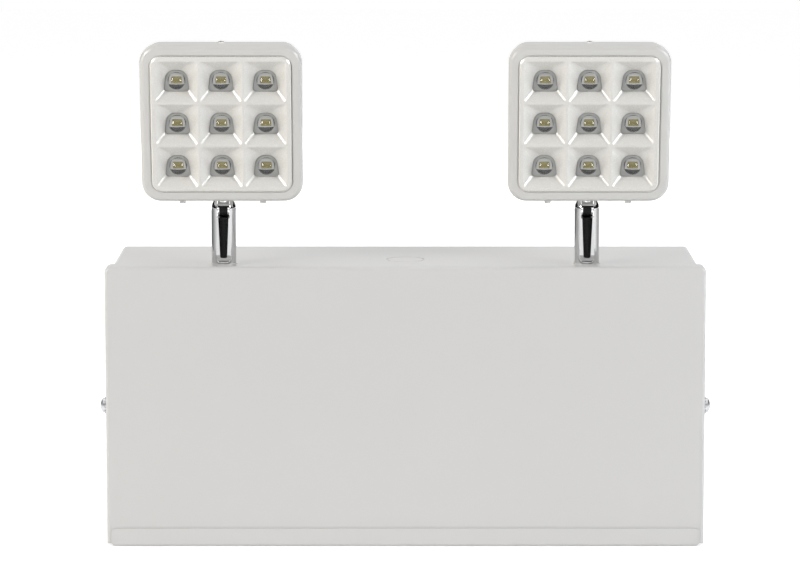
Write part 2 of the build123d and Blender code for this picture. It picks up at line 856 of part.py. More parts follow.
# Rear housing: straight walls behind the frame, then drawn in to a flat back
with BuildPart() as rear_housing:
    with BuildSketch(face_plane.offset(-flange_back)):
        with Locations((0, head_centre)):
            RectangleRounded(housing_size, housing_size, housing_corner)
    extrude(amount=flange_back - housing_straight)
    with BuildSketch(face_plane.offset(-housing_straight)):
        with Locations((0, head_centre)):
            RectangleRounded(housing_size, housing_size, housing_corner)
    extrude(amount=housing_straight - housing_depth, taper=housing_draft)
    shoulder = rear_housing.edges().filter_by(
        lambda edge: abs(edge.center().Y - (housing_straight - face_to_pin)) < housing_wall / 4
    )
    fillet(shoulder, housing_shoulder_round)
    fillet(rear_housing.faces().sort_by(Axis.Y)[-1].edges(), housing_back_round)
    inside = housing_size - 2 * housing_wall
    with BuildSketch(face_plane.offset(-flange_back)):
        with Locations((0, head_centre)):
            RectangleRounded(inside, inside, housing_corner - housing_wall)
    extrude(amount=flange_back - housing_straight, mode=Mode.SUBTRACT)
    with BuildSketch(face_plane.offset(-housing_straight)):
        with Locations((0, head_centre)):
            RectangleRounded(inside, inside, housing_corner - housing_wall)
    extrude(
        amount=housing_straight - housing_depth + housing_wall,
        taper=housing_draft,
        mode=Mode.SUBTRACT,
    )
    # knuckle hole below, screw hole on top
    with BuildSketch(Plane.XY.offset(housing_bottom)):
        Circle(knuckle_stem_radius + screw_clearance)
    extrude(amount=housing_wall, mode=Mode.SUBTRACT)
    with BuildSketch(Plane.XY.offset(housing_top)):
        with Locations((0, top_screw_setback - face_to_pin)):
            Circle(top_screw_radius + screw_clearance)
    extrude(amount=-housing_wall, mode=Mode.SUBTRACT)

top_screw = pan_screw(
    top_screw_head_radius, top_screw_head_height, top_screw_radius, top_screw_length
).moved(Location((0, top_screw_setback - face_to_pin, housing_top)))

# Place a post and a head on each side; the heads lean forward by the tilt
post_pieces = {
    "swivel_post": swivel_post.part,
    "wire_sleeve": wire_sleeve.part,
    "tilt_pin": tilt_pin.part,
    "spring_washer": spring_washer.part,
    "post_nut": post_nut.moved(Location((0, 0, post_nut_bottom))),
}
head_pieces = {
    "knuckle": knuckle.part,
    "knuckle_nut": knuckle_nut.moved(Location((0, 0, knuckle_nut_seat))),
    "front_frame": front_frame.part,
    "reflector": reflector.part,
    "lenses": lenses.part,
    "led_chips": led_chips.part,
    "lamp_board": lamp_board.part,
    "lamp_board_screws": lamp_board_screws.part,
    "rear_housing": rear_housing.part,
    "top_screw": top_screw,
}
for side_name, side in (("left", -1), ("right", 1)):
    pivot = (side * post_spacing / 2, post_y, pivot_z)
    for name, piece in post_pieces.items():
        save(piece.moved(Location(pivot)), f"{side_name}_{name}")
    for name, piece in head_pieces.items():
        save(piece.moved(Location(pivot, (head_tilt, 0, 0))), f"{side_name}_{name}")

# Battery on the floor of the box, with two terminals sunk in its lid
battery_back = inner_back - battery_gap
battery_y = battery_back - battery_thickness / 2
battery_top = inner_floor + battery_height
with BuildPart() as battery_case:
    with BuildSketch(Plane.XY.offset(inner_floor)):
        with Locations((battery_x, battery_y)):
            RectangleRounded(battery_length, battery_thickness, 2 * battery_lid_inset)
    extrude(amount=battery_height - battery_lid_height)
    with BuildSketch(Plane.XY.offset(battery_top - battery_lid_height)):
        with Locations((battery_x, battery_y)):
            RectangleRounded(
                battery_length - 2 * battery_lid_inset,
                battery_thickness - 2 * battery_lid_inset,
                battery_lid_inset,
            )
    extrude(amount=battery_lid_height)
    chamfer(battery_case.faces().sort_by(Axis.Z)[-1].edges(), battery_lid_inset)
    with BuildSketch(Plane.XY.offset(battery_top)):
        with Locations((battery_x, battery_y)):
            with GridLocations(terminal_spacing, 0, 2, 1):
                Rectangle(terminal_well_size, terminal_well_size)
    extrude(amount=-terminal_well, mode=Mode.SUBTRACT)
save(battery_case.part, "battery_case")

with BuildPart() as battery_terminals:
    with BuildSketch(Plane.XY.offset(battery_top - terminal_well)):
        with Locations((battery_x, battery_y)):
            with GridLocations(terminal_spacing, 0, 2, 1):
                Rectangle(blade_width, blade_width)
    extrude(amount=blade_thickness)
    with BuildSketch(Plane.XY.offset(battery_top - terminal_well)):
        with Locations((battery_x, battery_y)):
            with GridLocations(terminal_spacing, 0, 2, 1):
                Rectangle(blade_width, blade_thickness)
    extrude(amount=blade_height)
save(battery_terminals.part, "battery_terminals")

# Steel strap round the battery, with two feet on the back
strap_front = battery_back - battery_thickness - strap_clearance - strap_thickness / 2
strap_line = strap_side - strap_thickness / 2
foot_line = inner_back - strap_thickness / 2
with BuildPart() as battery_strap:
    with BuildSketch(Plane.XY.offset(strap_z - strap_height / 2)):
        with BuildLine():
            FilletPolyline(
                (battery_x - strap_side - strap_foot, foot_line),
                (battery_x - strap_line, foot_line),
                (battery_x - strap_line, strap_front),
                (battery_x + strap_line, strap_front),
                (battery_x + strap_line, foot_line),
                (battery_x + strap_side + strap_foot, foot_line),
                radius=strap_bend,
            )
        trace(line_width=strap_thickness)
    extrude(amount=strap_height)
    with BuildSketch(Plane.XZ.offset(-inner_back)):
        with Locations((battery_x, strap_z)):
            with GridLocations(2 * strap_screw_x, 0, 2, 1):
                Circle(inner_screw_radius + screw_clearance)
    extrude(amount=strap_thickness, mode=Mode.SUBTRACT)
save(battery_strap.part, "battery_strap")

strap_screw = pan_screw(
    inner_screw_head_radius,
    inner_screw_head_height,
    inner_screw_radius,
    strap_thickness + box_steel - seat_gap,
)
with BuildPart() as strap_screws:
    for side in (-1, 1):
        seat = (battery_x + side * strap_screw_x, inner_back - strap_thickness, strap_z)
        add(strap_screw.moved(facing(seat, (0, -1, 0))))
save(strap_screws.part, "strap_screws")

# Transformer: a laminated core on a foot plate, with its coil round the middle leg
core_bottom = inner_floor + foot_thickness
core_middle = core_bottom + core_height / 2
leg_width = (core_width - 2 * window_width) / 2
coil_width = leg_width + 2 * (window_width - coil_clearance)
coil_height = window_height - 2 * coil_clearance
with BuildPart() as transformer_core:
    with BuildSketch(Plane.XY.offset(inner_floor)):
        with Locations((transformer_x, transformer_y)):
            RectangleRounded(foot_width, core_stack, foot_thickness)
            with GridLocations(foot_hole_spacing, 0, 2, 1):
                Circle(inner_screw_radius + screw_clearance, mode=Mode.SUBTRACT)
    extrude(amount=foot_thickness)
    with BuildSketch(Plane.XZ.offset(core_stack / 2 - transformer_y)):
        with Locations((transformer_x, core_middle)):
            Rectangle(core_width, core_height)
            with GridLocations(leg_width + window_width, 0, 2, 1):
                Rectangle(window_width, window_height, mode=Mode.SUBTRACT)
    extrude(amount=-core_stack)
save(transformer_core.part, "transformer_core")

with BuildPart() as transformer_coil:
    with BuildSketch(Plane.XY.offset(core_middle - coil_height / 2)):
        with Locations((transformer_x, transformer_y)):
            RectangleRounded(coil_width, coil_depth, window_width / 2)
            Rectangle(
                leg_width + 2 * coil_clearance, core_stack + 2 * coil_clearance, mode=Mode.SUBTRACT
            )
    extrude(amount=coil_height)
save(transformer_coil.part, "transformer_coil")

transformer_screw = pan_screw(
    inner_screw_head_radius,
    inner_screw_head_height,
    inner_screw_radius,
    foot_thickness + box_steel - seat_gap,
)
with BuildPart() as transformer_screws:
    with Locations((transformer_x, transformer_y, inner_floor + foot_thickness)):
        with GridLocations(foot_hole_spacing, 0, 2, 1):
            add(transformer_screw)
save(transformer_screws.part, "transformer_screws")

# Circuit board on four standoffs
standoff_span_x = board_width - 2 * standoff_inset
standoff_span_z = board_height - 2 * standoff_inset
board_plane = Plane.XZ.offset(-board_front)
standoff_plane = Plane.XZ.offset(-inner_back)
with BuildPart() as circuit_board:
    with BuildSketch(board_plane):
        with Locations((board_x, board_z)):
            RectangleRounded(board_width, board_height, board_thickness)
            with GridLocations(standoff_span_x, standoff_span_z, 2, 2):
                Circle(inner_screw_radius + screw_clearance, mode=Mode.SUBTRACT)
    extrude(amount=-board_thickness)
save(circuit_board.part, "circuit_board")

with BuildPart() as board_standoffs:
    with BuildSketch(standoff_plane):
        with Locations((board_x, board_z)):
            with GridLocations(standoff_span_x, standoff_span_z, 2, 2):
                RegularPolygon(standoff_flats / 2, 6, major_radius=False)
                Circle(inner_screw_radius + thread_clearance, mode=Mode.SUBTRACT)
    extrude(amount=standoff_height)
save(board_standoffs.part, "board_standoffs")

board_screw = pan_screw(
    inner_screw_head_radius,
    inner_screw_head_height,
    inner_screw_radius,
    board_thickness + 0.7 * standoff_height,
)
with BuildPart() as board_screws:
    for across in (-1, 1):
        for up in (-1, 1):
            seat = (
                board_x + across * standoff_span_x / 2,
                board_front,
                board_z + up * standoff_span_z / 2,
            )
            add(board_screw.moved(facing(seat, (0, -1, 0))))
save(board_screws.part, "board_screws")

# What stands on the board: terminal block, relay, capacitors, heat sink, fuse and its clips
with BuildPart() as terminal_block:
    with BuildSketch(board_plane):
        with Locations((block_x, block_z)):
            Rectangle(block_ways * block_pitch, block_height)
    extrude(amount=block_depth)
    chamfer(terminal_block.faces().sort_by(Axis.Y)[0].edges().filter_by(Axis.X), block_height / 8)
    with BuildSketch(board_plane.offset(block_depth)):
        with Locations((block_x, block_z)):
            with GridLocations(block_pitch, 0, block_ways, 1):
                Circle(wire_mouth_radius)
    extrude(amount=-block_depth / 2, mode=Mode.SUBTRACT)
save(terminal_block.part, "terminal_block")

relay_width, relay_height, relay_depth = relay_size
with BuildPart() as relay:
    with BuildSketch(board_plane):
        with Locations((board_x + board_width / 4, board_z)):
            Rectangle(relay_width, relay_height)
    extrude(amount=relay_depth)
    fillet(relay.faces().sort_by(Axis.Y)[0].edges(), relay_width / 20)
save(relay.part, "relay")

capacitor_row = board_z - 0.2 * board_height
capacitor_cans = ((5.0, 17.0, -0.27), (5.0, 17.0, -0.145), (6.5, 21.0, 0.0))
with BuildPart() as capacitors:
    for can_radius, can_length, across in capacitor_cans:
        with BuildSketch(board_plane):
            with Locations((board_x + across * board_width, capacitor_row)):
                Circle(can_radius)
        extrude(amount=can_length)
    can_ends = capacitors.edges().filter_by(GeomType.CIRCLE)
    fillet(can_ends.filter_by(lambda edge: edge.center().Y < board_front - 1), 0.8)
save(capacitors.part, "capacitors")

with BuildPart() as heat_sink:
    with BuildSketch(board_plane):
        with Locations((board_x + board_width / 4, board_z + board_height / 2 - sink_height)):
            Rectangle(sink_width, sink_fin)
            with Locations((0, sink_height / 4)):
                with GridLocations((sink_width - sink_fin) / (sink_fins - 1), 0, sink_fins, 1):
                    Rectangle(sink_fin, sink_height / 2 + sink_fin)
    extrude(amount=sink_height)
save(heat_sink.part, "heat_sink")

fuse_x = board_x + board_width / 4
fuse_z = board_z - 0.38 * board_height
fuse_y = board_front - fuse_clip
with BuildPart() as fuse:
    with BuildSketch(Plane.YZ.offset(fuse_x)):
        with Locations((fuse_y, fuse_z)):
            Circle(fuse_radius)
    extrude(amount=fuse_length / 2, both=True)
save(fuse.part, "fuse")

with BuildPart() as fuse_clips:
    for side in (-1, 1):
        with BuildSketch(Plane.YZ.offset(fuse_x + side * (fuse_length - fuse_clip) / 2)):
            with Locations((board_front - fuse_clip / 2 - fuse_radius / 2, fuse_z)):
                Rectangle(fuse_clip + fuse_radius, 2 * fuse_radius + 2 * fuse_radius / 3)
            with Locations((fuse_y, fuse_z)):
                Circle(fuse_radius + thread_clearance, mode=Mode.SUBTRACT)
            with Locations((fuse_y - fuse_radius, fuse_z)):
                Rectangle(2 * fuse_radius, 1.6 * fuse_radius, mode=Mode.SUBTRACT)
        extrude(amount=fuse_clip / 2, both=True)
save(fuse_clips.part, "fuse_clips")

# Push-to-test switch through the right side: body, neck, bezel, and the button in its bore
switch_plane = Plane.YZ.offset(inner_side)
bezel_face = box_side + switch_bezel
button_tip = bezel_face + button_proud
bore_bottom = button_tip - button_length - button_travel - 1
with BuildPart() as test_switch:
    with BuildSketch(switch_plane):
        with Locations((switch_y, switch_z)):
            Circle(switch_body_radius)
    extrude(amount=-switch_body_length)
    with BuildSketch(switch_plane):
        with Locations((switch_y, switch_z)):
            Circle(switch_neck_radius)
    extrude(amount=box_steel)
    with BuildSketch(Plane.YZ.offset(box_side)):
        with Locations((switch_y, switch_z)):
            Circle(switch_bezel_radius)
    extrude(amount=switch_bezel)
    chamfer(test_switch.faces().sort_by(Axis.X)[-1].edges(), switch_bezel / 4)
    with BuildSketch(Plane.YZ.offset(bezel_face)):
        with Locations((switch_y, switch_z)):
            Circle(button_radius + running_clearance)
    extrude(amount=bore_bottom - bezel_face, mode=Mode.SUBTRACT)
save(test_switch.part, "test_switch")

with BuildPart() as test_button:
    with BuildSketch(Plane.YZ.offset(button_tip)):
        with Locations((switch_y, switch_z)):
            Circle(button_radius)
    extrude(amount=-button_length)
    fillet(test_button.faces().sort_by(Axis.X)[-1].edges(), button_radius / 5)
save(test_button.part, "test_button")

with BuildPart() as pilot_lamp:
    with BuildSketch(switch_plane):
        with Locations((switch_y, pilot_z)):
            Circle(pilot_body_radius)
    extrude(amount=-pilot_body_length)
    with BuildSketch(switch_plane):
        with Locations((switch_y, pilot_z)):
            Circle(pilot_radius)
    extrude(amount=box_steel)
    with BuildSketch(Plane.YZ.offset(box_side)):
        with Locations((switch_y, pilot_z)):
            Circle(pilot_body_radius)
    extrude(amount=pilot_flange)
    with BuildSketch(Plane.YZ.offset(box_side + pilot_flange)):
        with Locations((switch_y, pilot_z)):
            Circle(pilot_radius)
    extrude(amount=pilot_radius)
    fillet(pilot_lamp.faces().sort_by(Axis.X)[-1].edges(), 0.8 * pilot_radius)
save(pilot_lamp.part, "pilot_lamp")

# Wires. The six ways of the terminal block take, from the left: battery, battery, left lamp,
# transformer, transformer, right lamp
blade_top = battery_top - terminal_well + blade_height + seat_gap
plus_x = battery_x + terminal_spacing / 2
minus_x = battery_x - terminal_spacing / 2
stem_end = pivot_z + post_base - stem_length - seat_gap
coil_front = transformer_y - coil_depth / 2 - seat_gap

plus_rise = (plus_x, battery_y, blade_top + 1.3 * lead_drop)
minus_rise = (minus_x, battery_y, blade_top + 1.3 * lead_drop)
with BuildPart() as battery_leads:
    add(
        lead(
            [
                (plus_x, battery_y, blade_top),
                plus_rise,
                waypoint(plus_rise, way_end(0), 0.34, -0.6, 0.6),
                waypoint(plus_rise, way_end(0), 1, -0.6, 1),
                way_end(0),
            ]
        )
    )
    add(
        lead(
            [
                (minus_x, battery_y, blade_top),
                minus_rise,
                waypoint(minus_rise, way_end(1), 0.14, -0.6, 0.4),
                waypoint(minus_rise, way_end(1), 0.43, -1, 0.5),
                waypoint(minus_rise, way_end(1), 0.72, -1.2, 0.7),
                waypoint(minus_rise, way_end(1), 1, -1, 1),
                way_end(1),
            ]
        )
    )
save(battery_leads.part, "battery_leads")

left_drop = (-post_spacing / 2, post_y, stem_end - lead_drop)
right_drop = (post_spacing / 2, post_y, stem_end - lead_drop)
with BuildPart() as lamp_leads:
    add(
        lead(
            [
                (-post_spacing / 2, post_y, stem_end),
                left_drop,
                waypoint(left_drop, way_end(2), 0.2, 0.17, 0.9),
                waypoint(left_drop, way_end(2), 0.52, 0.27, 0.4),
                waypoint(left_drop, way_end(2), 0.82, 0.31, 0.2),
                waypoint(left_drop, way_end(2), 1, 0.43, 1),
                way_end(2),
            ]
        )
    )
    add(
        lead(
            [
                (post_spacing / 2, post_y, stem_end),
                right_drop,
                waypoint(right_drop, way_end(5), 0.4, 0.27, 1.2),
                waypoint(right_drop, way_end(5), 1, 0.45, 1),
                way_end(5),
            ]
        )
    )
save(lamp_leads.part, "lamp_leads")

with BuildPart() as transformer_leads:
    for way, offset_x in ((3, 0.08), (4, 0.24)):
        coil_exit = (transformer_x + offset_x * coil_width, coil_front, core_middle)
        add(
            lead(
                [
                    coil_exit,
                    (coil_exit[0], coil_front - lead_out, core_middle),
                    waypoint(coil_exit, way_end(way), 0.1, -0.18, 0.35),
                    waypoint(coil_exit, way_end(way), 0.9, 0.01, 0.67),
                    waypoint(coil_exit, way_end(way), 1, 0.19, 0.96),
                    way_end(way),
                ]
            )
        )
save(transformer_leads.part, "transformer_leads")

supply_routes = []
for offset_x, rise in ((0.05, 0.7), (0.24, -1.1)):
    coil_x = transformer_x - offset_x * coil_width
    supply_routes.append(
        [
            (coil_x, coil_front, core_middle),
            (coil_x, coil_front - lead_out, core_middle),
            (coil_x - 1.5 * lead_out, coil_front - 1.8 * lead_out, core_middle - lead_out / 3),
            (coil_x - 3.8 * lead_out, coil_front - 1.9 * lead_out, core_middle + rise * lead_out),
        ]
    )
with BuildPart() as supply_leads:
    for route in supply_routes:
        add(lead(route))
save(supply_leads.part, "supply_leads")

with BuildPart() as wire_nut:
    with BuildSketch():
        Circle(wire_nut_radius)
    extrude(amount=wire_nut_length, taper=6)
    with BuildSketch():
        Circle(wire_nut_radius * 1.15)
    extrude(amount=wire_nut_length / 4)
    fillet(wire_nut.faces().sort_by(Axis.Z)[-1].edges(), wire_nut_radius / 4)

with BuildPart() as wire_nuts:
    for route in supply_routes:
        end = Vector(*route[-1])
        along = (end - Vector(*route[-2])).normalized()
        add(wire_nut.part.moved(facing(end + along * seat_gap, along)))
save(wire_nuts.part, "wire_nuts")
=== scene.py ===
import json
import math

import bmesh
import bpy
from mathutils import Matrix, Vector

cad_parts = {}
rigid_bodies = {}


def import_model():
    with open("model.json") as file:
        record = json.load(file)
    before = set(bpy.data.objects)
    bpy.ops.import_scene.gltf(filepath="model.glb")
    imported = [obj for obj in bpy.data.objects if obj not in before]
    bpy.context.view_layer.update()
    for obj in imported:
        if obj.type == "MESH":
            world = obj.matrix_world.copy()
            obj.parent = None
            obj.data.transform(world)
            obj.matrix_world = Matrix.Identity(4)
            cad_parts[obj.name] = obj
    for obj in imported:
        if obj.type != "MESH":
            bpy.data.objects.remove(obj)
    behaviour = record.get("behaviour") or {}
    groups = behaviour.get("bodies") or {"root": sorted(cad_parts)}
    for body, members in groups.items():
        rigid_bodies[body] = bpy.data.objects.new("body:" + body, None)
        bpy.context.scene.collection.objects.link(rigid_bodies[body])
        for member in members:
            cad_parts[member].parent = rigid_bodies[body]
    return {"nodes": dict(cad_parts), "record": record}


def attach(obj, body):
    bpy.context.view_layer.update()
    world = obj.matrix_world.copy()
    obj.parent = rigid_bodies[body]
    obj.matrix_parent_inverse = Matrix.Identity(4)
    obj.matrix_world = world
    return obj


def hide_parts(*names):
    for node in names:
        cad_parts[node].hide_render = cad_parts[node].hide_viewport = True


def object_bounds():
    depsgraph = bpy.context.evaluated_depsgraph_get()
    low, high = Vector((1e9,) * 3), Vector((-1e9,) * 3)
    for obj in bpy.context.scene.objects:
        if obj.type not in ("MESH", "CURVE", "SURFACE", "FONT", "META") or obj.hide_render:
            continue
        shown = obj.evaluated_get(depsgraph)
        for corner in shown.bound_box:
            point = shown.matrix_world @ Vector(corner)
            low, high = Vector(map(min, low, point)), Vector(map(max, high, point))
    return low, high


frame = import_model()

nodes = frame["nodes"]
strays = [o for o in bpy.data.objects if o.name not in nodes and not o.name.startswith("body:")]
for stray in strays:
    bpy.data.objects.remove(stray)
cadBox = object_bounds()
print("frame loaded:", len(nodes), "nodes")

mm = 0.001
near = 0.01  # millimetres within which a point counts as being at a place
nearLevel = 0.004  # the same for a level, where levels lie closer together
weld = 0.002  # points nearer than this are merged


# shader helpers: a wire is a node's output, and sums and products of wires add Math nodes
class Wire:
    def __init__(self, graph, socket):
        self.graph, self.socket = graph, socket

    def maths(self, operation, first, second=0.0):
        return self.graph.add("ShaderNodeMath", {"operation": operation}, {0: first, 1: second})

    def __add__(self, other):
        return self.maths("ADD", self, other)

    def __radd__(self, other):
        return self.maths("ADD", other, self)

    def __sub__(self, other):
        return self.maths("SUBTRACT", self, other)

    def __rsub__(self, other):
        return self.maths("SUBTRACT", other, self)

    def __mul__(self, other):
        return self.maths("MULTIPLY", self, other)

    def __rmul__(self, other):
        return self.maths("MULTIPLY", other, self)


class Graph:
    # nodes of a material, or of the world when one is given
    def __init__(self, name, world=None):
        self.material = world or bpy.data.materials.new(name)
        self.material.use_nodes = True
        self.tree = self.material.node_tree
        self.shader = self.tree.nodes.get("Principled BSDF")

    def add(self, kind, settings=None, inputs=None, output=0):
        node = self.tree.nodes.new(kind)
        for key, value in (settings or {}).items():
            if key == "stops":
                ramp = node.color_ramp.elements
                while len(ramp) < len(value):
                    ramp.new(0.5)
                for stop, (place, colour) in zip(ramp, value):
                    stop.position = place
                    stop.color = (*colour, 1.0)
            else:
                setattr(node, key, value)
        for key, value in (inputs or {}).items():
            self.join(node.inputs[key], value)
        return Wire(self, node.outputs[output])

    def join(self, socket, value):
        if isinstance(value, Wire):
            self.tree.links.new(value.socket, socket)
        else:
            socket.default_value = value

    def surface(self, **inputs):
        for key, value in inputs.items():
            self.join(self.shader.inputs[key.replace("_", " ")], value)

    def show(self, shader):
        output = next(n for n in self.tree.nodes if n.type.startswith("OUTPUT"))
        self.join(output.inputs["Surface"], shader)

    def lookedAt(self):
        # 1 where the camera looks, straight or by way of something shiny or clear, otherwise 0
        seen, glossy, through = (
            self.add("ShaderNodeLightPath", output=f"Is {kind} Ray")
            for kind in ("Camera", "Glossy", "Transmission")
        )
        return seen.maths("MINIMUM", seen + glossy + through, 1.0)

    def place(self):
        return self.add("ShaderNodeTexCoord", output="Object")

    def noise(self, scale, detail=3.0, roughness=0.5):
        return self.add(
            "ShaderNodeTexNoise",
            inputs={
                "Vector": self.place(),
                "Scale": scale,
                "Detail": detail,
                "Roughness": roughness,
            },
        )

    def blend(self, share, first, second):
        return self.add(
            "ShaderNodeMix",
            {"data_type": "RGBA"},
            {"Factor": share, "A": first, "B": second},
            output=2,
        )

    def bump(self, height, strength, distance):
        return self.add(
            "ShaderNodeBump",
            inputs={"Strength": strength, "Distance": distance, "Height": height},
        )


# colour as it shows on screen, 0 to 255, turned to the linear colour that Blender takes
def shown(red, green, blue):
    return tuple(
        (c / 255 / 12.92) if c / 255 <= 0.04045 else ((c / 255 + 0.055) / 1.055) ** 2.4
        for c in (red, green, blue)
    )


def rgba(colour):
    return (*colour, 1.0)


def tinted(colour, factor):
    return rgba(tuple(min(1.0, c * factor) for c in colour))


# finishes
def powderCoat(name, colour):
    coat = {"grain": 900, "orangePeel": 0.25, "drift": 6, "roughness": 0.36}
    g = Graph(name)
    drift = g.noise(coat["drift"], 2.0)
    peel = g.noise(coat["grain"], 2.0, 0.6)
    g.surface(
        Base_Color=g.blend(drift, tinted(colour, 0.985), tinted(colour, 1.015)),
        Roughness=coat["roughness"] + 0.05 * peel,
        Normal=g.bump(peel, coat["orangePeel"], 0.00004),
        Specular_IOR_Level=0.5,
        Coat_Weight=0.25,
        Coat_Roughness=0.22,
    )
    return g.material


def mouldedGloss(name, colour, roughness=0.28, grain=1500, coat=0.3):
    g = Graph(name)
    drift = g.noise(25, 2.0)
    fine = g.noise(grain, 2.0)
    g.surface(
        Base_Color=g.blend(drift, tinted(colour, 0.985), tinted(colour, 1.015)),
        Roughness=roughness + 0.06 * fine,
        Normal=g.bump(fine, 0.12, 0.00002),
        Coat_Weight=coat,
        Coat_Roughness=0.1,
    )
    return g.material


def mouldedMatte(name, colour, roughness=0.55, grain=1800, shine=0.5):
    g = Graph(name)
    drift = g.noise(30, 2.0)
    fine = g.noise(grain, 2.0)
    g.surface(
        Base_Color=g.blend(drift, tinted(colour, 0.94), tinted(colour, 1.06)),
        Roughness=roughness + 0.1 * fine,
        Normal=g.bump(fine, 0.3, 0.00005),
        Specular_IOR_Level=shine,
    )
    return g.material


def polishedChrome(name):
    g = Graph(name)
    haze = g.noise(220, 3.0)
    g.surface(
        Base_Color=g.blend(haze, rgba((0.86, 0.87, 0.88)), rgba((0.93, 0.93, 0.93))),
        Metallic=1.0,
        Roughness=0.045 + 0.03 * haze,
    )
    return g.material


def platedSteel(name, colour, roughness=0.3):
    g = Graph(name)
    cloud = g.noise(160, 3.0)
    fine = g.noise(2600, 2.0)
    g.surface(
        Base_Color=g.blend(cloud, tinted(colour, 0.88), tinted(colour, 1.08)),
        Metallic=1.0,
        Roughness=roughness + 0.14 * cloud,
        Normal=g.bump(fine, 0.15, 0.00002),
    )
    return g.material


def clearOptic(name):
    g = Graph(name)
    haze = g.noise(400, 2.0)
    g.surface(
        Base_Color=g.blend(haze, rgba((0.90, 0.92, 0.91)), rgba((0.96, 0.97, 0.96))),
        Roughness=0.02 + 0.02 * haze,
        Transmission_Weight=1.0,
        IOR=1.49,
    )
    return g.material


def tintedGlass(name, colour):
    g = Graph(name)
    haze = g.noise(400, 2.0)
    g.surface(
        Base_Color=g.blend(haze, tinted(colour, 0.9), tinted(colour, 1.05)),
        Roughness=0.06 + 0.03 * haze,
        Transmission_Weight=0.7,
        IOR=1.49,
    )
    return g.material


def laminations(name, colour):
    g = Graph(name)
    bands = g.add(
        "ShaderNodeTexWave",
        {"wave_type": "BANDS", "bands_direction": "Y"},
        {"Vector": g.place(), "Scale": 320, "Distortion": 0.2},
        output=1,
    )
    g.surface(
        Base_Color=g.blend(bands, tinted(colour, 0.7), tinted(colour, 1.15)),
        Metallic=0.8,
        Roughness=0.42 + 0.15 * bands,
        Normal=g.bump(bands, 0.35, 0.0001),
    )
    return g.material


def windingTape(name, colour):
    g = Graph(name)
    wraps = g.add(
        "ShaderNodeTexWave",
        {"wave_type": "BANDS", "bands_direction": "Z"},
        {"Vector": g.place(), "Scale": 18, "Distortion": 0.6, "Detail": 1.0},
        output=1,
    )
    g.surface(
        Base_Color=g.blend(wraps, tinted(colour, 0.86), tinted(colour, 1.06)),
        Roughness=0.3 + 0.12 * wraps,
        Normal=g.bump(wraps, 0.3, 0.0002),
    )
    return g.material


def solderMask(name, colour, copper):
    g = Graph(name)
    place = g.place()
    tracks = g.add(
        "ShaderNodeTexVoronoi",
        {"distance": "MANHATTAN", "feature": "F1"},
        {"Vector": place, "Scale": 260},
    )
    mask = g.add("ShaderNodeMath", {"operation": "LESS_THAN"}, {0: tracks, 1: 0.28})
    g.surface(
        Base_Color=g.blend(mask, rgba(colour), rgba(copper)),
        Roughness=0.34 - 0.08 * mask,
        Normal=g.bump(mask, 0.2, 0.00004),
    )
    return g.material


def wireSkin(name, colour):
    g = Graph(name)
    drift = g.noise(90, 2.0)
    g.surface(
        Base_Color=g.blend(drift, tinted(colour, 0.88), tinted(colour, 1.08)),
        Roughness=0.38 + 0.12 * drift,
        Normal=g.bump(drift, 0.15, 0.0001),
    )
    return g.material


cabinetWhite = shown(211, 210, 209)
lampWhite = shown(208, 207, 204)
reflectorWhite = shown(221, 219, 214)
finishes = {
    "white_steel": powderCoat("white_steel", cabinetWhite),
    "zinc": platedSteel("zinc", (0.66, 0.67, 0.68)),
    "battery_plastic": mouldedMatte("battery_plastic", (0.022, 0.024, 0.026)),
    "terminal_brass": platedSteel("terminal_brass", (0.72, 0.68, 0.56), 0.24),
    "board_green": solderMask("board_green", (0.012, 0.09, 0.03), (0.03, 0.17, 0.06)),
    "nylon": mouldedMatte("nylon", (0.70, 0.69, 0.62), 0.4),
    "core_steel": laminations("core_steel", (0.16, 0.16, 0.17)),
    "coil_tape": windingTape("coil_tape", (0.62, 0.38, 0.05)),
    "black_plastic": mouldedMatte("black_plastic", (0.016, 0.016, 0.017), 0.42),
    "can_sleeve": mouldedGloss("can_sleeve", (0.012, 0.02, 0.07), 0.24),
    "sink_aluminium": platedSteel("sink_aluminium", (0.6, 0.61, 0.62), 0.36),
    "block_green": mouldedMatte("block_green", (0.03, 0.2, 0.07), 0.4),
    "fuse_glass": clearOptic("fuse_glass"),
    "pilot_red": tintedGlass("pilot_red", (0.62, 0.02, 0.015)),
    "lead_red": wireSkin("lead_red", (0.45, 0.012, 0.01)),
    "lead_blue": wireSkin("lead_blue", (0.015, 0.04, 0.3)),
    "lead_yellow": wireSkin("lead_yellow", (0.7, 0.48, 0.02)),
    "lead_black": wireSkin("lead_black", (0.012, 0.012, 0.013)),
    "nut_orange": mouldedGloss("nut_orange", (0.72, 0.17, 0.01)),
    "chrome": polishedChrome("chrome"),
    "sleeve_black": mouldedMatte("sleeve_black", (0.007, 0.007, 0.008), 0.22, shine=0.16),
    "lamp_white": mouldedGloss("lamp_white", lampWhite),
    "reflector_white": mouldedGloss("reflector_white", reflectorWhite, 0.24, coat=1.0),
    "lens_clear": clearOptic("lens_clear"),
    "chip_phosphor": mouldedMatte("chip_phosphor", (0.2, 0.168, 0.06), 0.35),
    # the white board's colour is set to a mid grey: painted shade of the deep recess behind the
    # wells, not the board's own white
    "board_white": mouldedMatte("board_white", (0.44, 0.44, 0.43), 0.4),
    "screw_nickel": platedSteel("screw_nickel", (0.62, 0.61, 0.58), 0.22),
    "button_red": mouldedGloss("button_red", (0.5, 0.02, 0.015)),
}
slotOf = {part["node"]: part["material_slot"] for part in frame["record"]["subparts"]}
for nodeName, node in nodes.items():
    node.data.materials.clear()
    node.data.materials.append(finishes[slotOf[nodeName]])
print("finishes given to", len(nodes), "nodes")


# modelling helpers: pieces are drawn in millimetres and placed in metres at the end
def newMesh(name):
    bpy.ops.object.select_all(action="DESELECT")
    bpy.ops.mesh.primitive_plane_add(size=1)
    piece = bpy.context.object
    piece.name = name
    piece.data.name = name
    bpy.ops.object.mode_set(mode="EDIT")
    bpy.ops.mesh.delete(type="VERT")
    return piece


